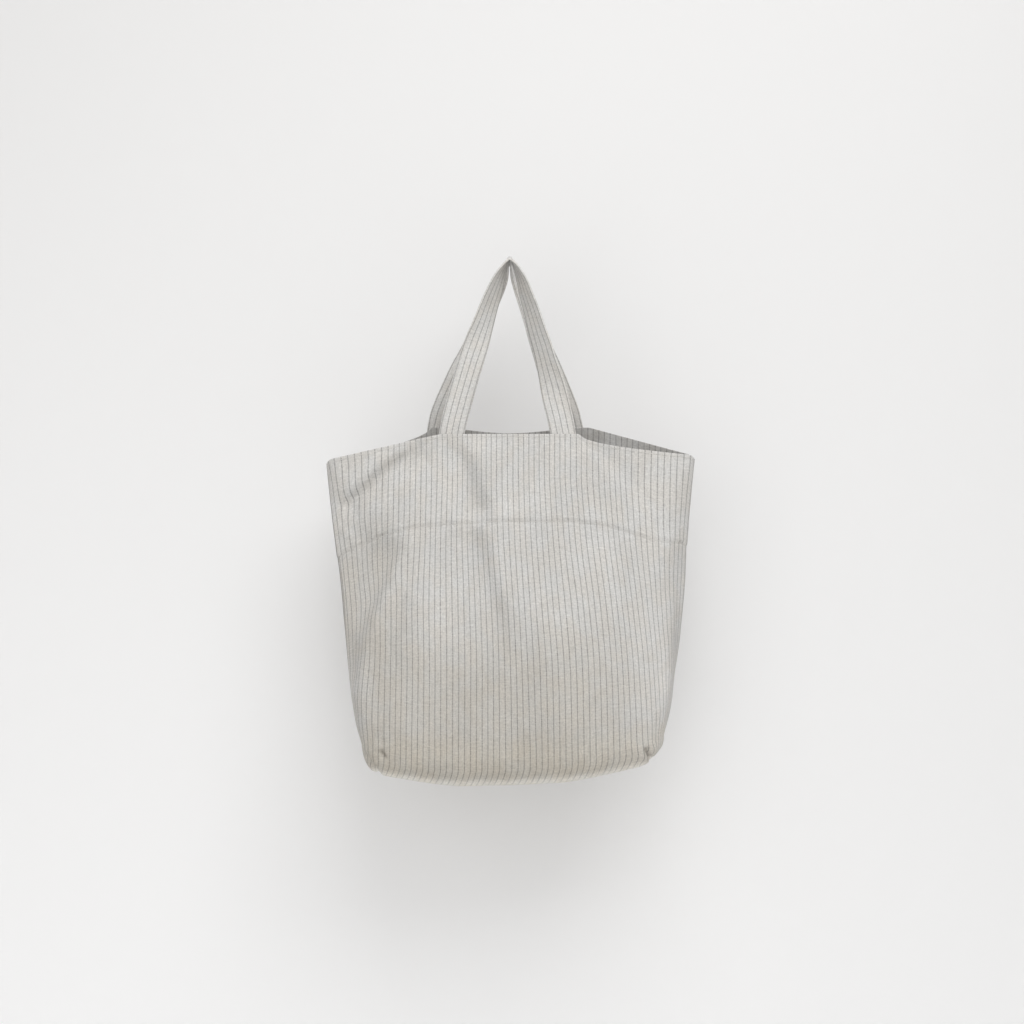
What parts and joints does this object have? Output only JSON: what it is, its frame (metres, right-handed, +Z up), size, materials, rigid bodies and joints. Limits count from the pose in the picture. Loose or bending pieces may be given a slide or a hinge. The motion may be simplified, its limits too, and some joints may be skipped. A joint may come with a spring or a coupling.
{
  "type": "tote bag",
  "caption": "Soft striped linen tote hung by its straps, with an open mouth, a deep stitched hem and a boxed base; each strap folds down over its own rim.",
  "frame": {"origin": "where a hook touches the straps: under their highest point, midway between the front strap and the back strap", "axes": "+Z up, front of the bag towards -Y, +X to the right seen from the front"},
  "size_m": [0.4618, 0.1253, 0.6518],
  "materials": {
    "striped_linen": "greige linen with thin dark grey stripes, matt, slubby plain weave",
    "facing_linen": "the same striped linen seen from inside, matt",
    "strap_linen": "the same striped linen folded into a flat strap, matt",
    "seam_linen": "raw linen edges oversewn with thread, matt",
    "thread": "pale grey sewing thread, slightly lustrous"
  },
  "bodies": {
    "bag": {"front_panel": "striped_linen", "back_panel": "striped_linen", "front_facing": "facing_linen", "back_facing": "facing_linen", "front_strap_end_left": "strap_linen", "front_strap_end_right": "strap_linen", "back_strap_end_left": "strap_linen", "back_strap_end_right": "strap_linen", "front_rim_stitching": "thread", "back_rim_stitching": "thread", "front_hem_stitching": "thread", "back_hem_stitching": "thread", "front_corner_allowance_left": "seam_linen", "front_corner_allowance_right": "seam_linen", "back_corner_allowance_left": "seam_linen", "back_corner_allowance_right": "seam_linen", "side_seam_allowance_left": "seam_linen", "side_seam_allowance_right": "seam_linen", "bottom_seam_allowance": "seam_linen"},
    "front_handle": {"front_strap": "strap_linen", "front_strap_stitching_left": "thread", "front_strap_stitching_right": "thread"},
    "back_handle": {"back_strap": "strap_linen", "back_strap_stitching_left": "thread", "back_strap_stitching_right": "thread"}
  },
  "joints": [
    {"name": "front_strap_fold", "type": "hinge", "parent": "bag", "child": "front_handle", "pos_m": [0, -0.02494, -0.2167], "axis": [1, 0, 0], "range_deg": [0, 150]},
    {"name": "back_strap_fold", "type": "hinge", "parent": "bag", "child": "back_handle", "pos_m": [0, 0.02464, -0.20715], "axis": [-1, 0, 0], "range_deg": [0, 150]}
  ]
}
